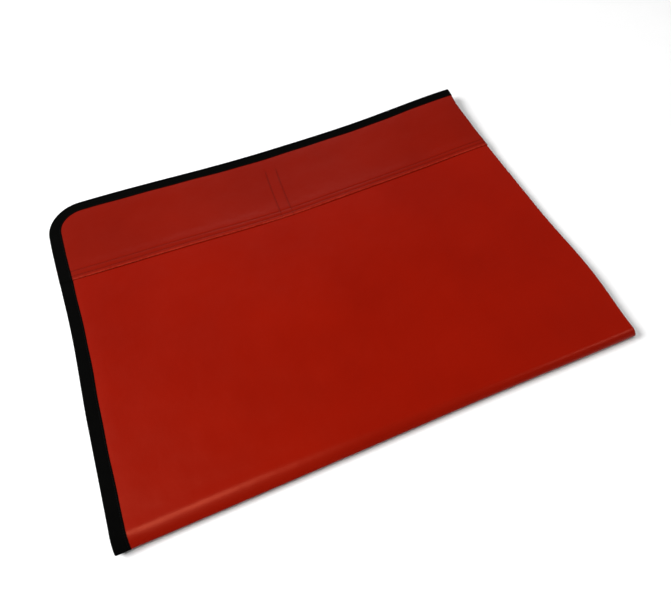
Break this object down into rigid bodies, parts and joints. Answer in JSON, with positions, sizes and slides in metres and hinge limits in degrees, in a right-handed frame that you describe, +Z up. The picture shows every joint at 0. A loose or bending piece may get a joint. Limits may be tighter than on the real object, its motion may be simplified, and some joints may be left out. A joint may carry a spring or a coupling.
{
  "type": "fire blanket",
  "caption": "Red coated-cloth fire blanket with black bound edge and a hand-pocket band, folded in quarters; the upper half unfolds about the front crease.",
  "frame": {"origin": "centre of the folded blanket's box, on the ground it lies on", "axes": "+X along the long side from the bound edge to the side folds, +Y from the front folds to the far bound edge, +Z up"},
  "size_m": [1.003, 0.7498, 0.0253],
  "materials": {
    "coated_cloth": "smooth semi-matte coating over a fine woven glass cloth, bright red",
    "black_tape": "matte black woven binding tape",
    "red_thread": "dark red sewing thread, faint sheen",
    "black_thread": "black sewing thread, faint sheen"
  },
  "bodies": {
    "lower_half": {"leaf_1_bottom": "coated_cloth", "leaf_2": "coated_cloth", "side_fold_lower": "coated_cloth", "front_fold_outer_lower": "coated_cloth", "front_fold_inner_lower": "coated_cloth", "binding_leaf_1": "black_tape", "binding_leaf_2": "black_tape", "binding_side_fold_lower": "black_tape", "binding_front_fold_outer_lower": "black_tape", "binding_front_fold_inner_lower": "black_tape", "binding_seam_leaf_1": "black_thread", "binding_seam_leaf_2": "black_thread"},
    "upper_half": {"leaf_3": "coated_cloth", "leaf_4_top": "coated_cloth", "side_fold_upper": "coated_cloth", "front_fold_outer_upper": "coated_cloth", "front_fold_inner_upper": "coated_cloth", "pocket_band_leaf_3": "coated_cloth", "pocket_band_leaf_4": "coated_cloth", "pocket_band_side_fold": "coated_cloth", "binding_leaf_3": "black_tape", "binding_leaf_4": "black_tape", "binding_side_fold_upper": "black_tape", "binding_front_fold_outer_upper": "black_tape", "binding_front_fold_inner_upper": "black_tape", "binding_seam_leaf_3": "black_thread", "binding_seam_leaf_4": "black_thread", "hem_seam_lower_leaf_3": "red_thread", "hem_seam_upper_leaf_3": "red_thread", "hem_seam_lower_leaf_4": "red_thread", "hem_seam_upper_leaf_4": "red_thread", "divider_seam_left_leaf_3": "red_thread", "divider_seam_right_leaf_3": "red_thread", "divider_seam_left_leaf_4": "red_thread", "divider_seam_right_leaf_4": "red_thread"}
  },
  "joints": [
    {"name": "front_crease", "type": "hinge", "parent": "lower_half", "child": "upper_half", "pos_m": [0, -0.37503, 0.01095], "axis": [1, 0, 0], "range_deg": [0, 180]}
  ]
}
